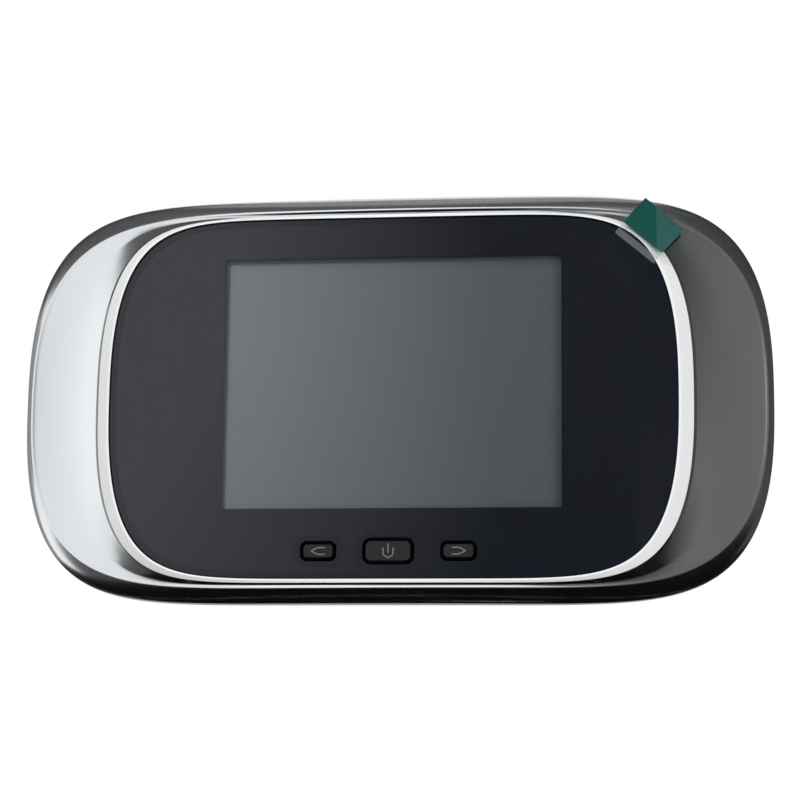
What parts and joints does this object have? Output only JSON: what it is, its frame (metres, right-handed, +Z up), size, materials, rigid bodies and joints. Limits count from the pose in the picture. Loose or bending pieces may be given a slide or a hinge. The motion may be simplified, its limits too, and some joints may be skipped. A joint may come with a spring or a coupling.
{
  "type": "peephole door camera",
  "caption": "Indoor monitor of a digital door viewer: plated bezel with scooped wings round a window, screen and key row, battery bay behind, hung on a hooked door bracket.",
  "frame": {"origin": "axis of the viewer's barrel in the plane of the door's face", "axes": "+X to the right as seen from the room, +Y into the door, +Z up; the screen faces -Y"},
  "size_m": [0.1284, 0.0212, 0.0702],
  "materials": {
    "plated_steel": "zinc plated sheet",
    "black_abs": "fine moulded texture",
    "cell_jacket": "printed jacket, satin",
    "spring_wire": "nickel plated wire",
    "contact_sheet": "nickel plated sheet",
    "screw_steel": "blackened steel",
    "board_laminate": "green solder mask",
    "chip_resin": "moulded resin",
    "socket_nylon": "natural nylon",
    "switch_body": "folded metal cover",
    "switch_stem": "moulded",
    "white_tray": "white reflector",
    "lcd_glass": "polarised glass, screen off",
    "flex_film": "polyimide film",
    "black_foam": "soft foam",
    "satin_chrome": "satin plating",
    "black_tape": "adhesive tape",
    "window_acrylic": "polished, printed on its back",
    "clear_film": "clear film",
    "green_film": "coloured film",
    "key_abs": "moulded cap"
  },
  "bodies": {
    "bracket": {"door_bracket": "plated_steel"},
    "monitor": {"rear_cover": "black_abs", "aaa_cell_1": "cell_jacket", "aaa_cell_2": "cell_jacket", "aaa_cell_3": "cell_jacket", "battery_springs": "spring_wire", "contact_plates": "contact_sheet", "case_screws": "screw_steel", "main_board": "board_laminate", "board_chips": "chip_resin", "camera_socket": "socket_nylon", "lcd_socket": "socket_nylon", "board_screws": "screw_steel", "tact_switches": "switch_body", "lcd_tray": "white_tray", "lcd_panel": "lcd_glass", "lcd_flex": "flex_film", "lcd_gasket": "black_foam", "front_frame": "black_abs", "front_bezel": "satin_chrome", "window_tape": "black_tape", "window_panel": "window_acrylic", "screen_film": "clear_film", "film_pull_tab": "green_film"},
    "back_key": {"back_key": "key_abs", "back_switch_stem": "switch_stem"},
    "power_key": {"power_key": "key_abs", "power_switch_stem": "switch_stem"},
    "next_key": {"next_key": "key_abs", "next_switch_stem": "switch_stem"},
    "battery_door": {"battery_door": "black_abs"}
  },
  "joints": [
    {"name": "monitor_lift", "type": "slide", "parent": "bracket", "child": "monitor", "axis": [0, 0, 1], "range_m": [0, 0.005]},
    {"name": "back_key_press", "type": "slide", "parent": "monitor", "child": "back_key", "axis": [0, 1, 0], "range_m": [0, 0.0005], "stiffness_N_per_m": 2500},
    {"name": "power_key_press", "type": "slide", "parent": "monitor", "child": "power_key", "axis": [0, 1, 0], "range_m": [0, 0.0005], "stiffness_N_per_m": 2500},
    {"name": "next_key_press", "type": "slide", "parent": "monitor", "child": "next_key", "axis": [0, 1, 0], "range_m": [0, 0.0005], "stiffness_N_per_m": 2500},
    {"name": "battery_door_tilt", "type": "hinge", "parent": "monitor", "child": "battery_door", "pos_m": [0.0672, -0.0004, 0], "axis": [0, 0, -1], "range_deg": [0, 60]}
  ]
}
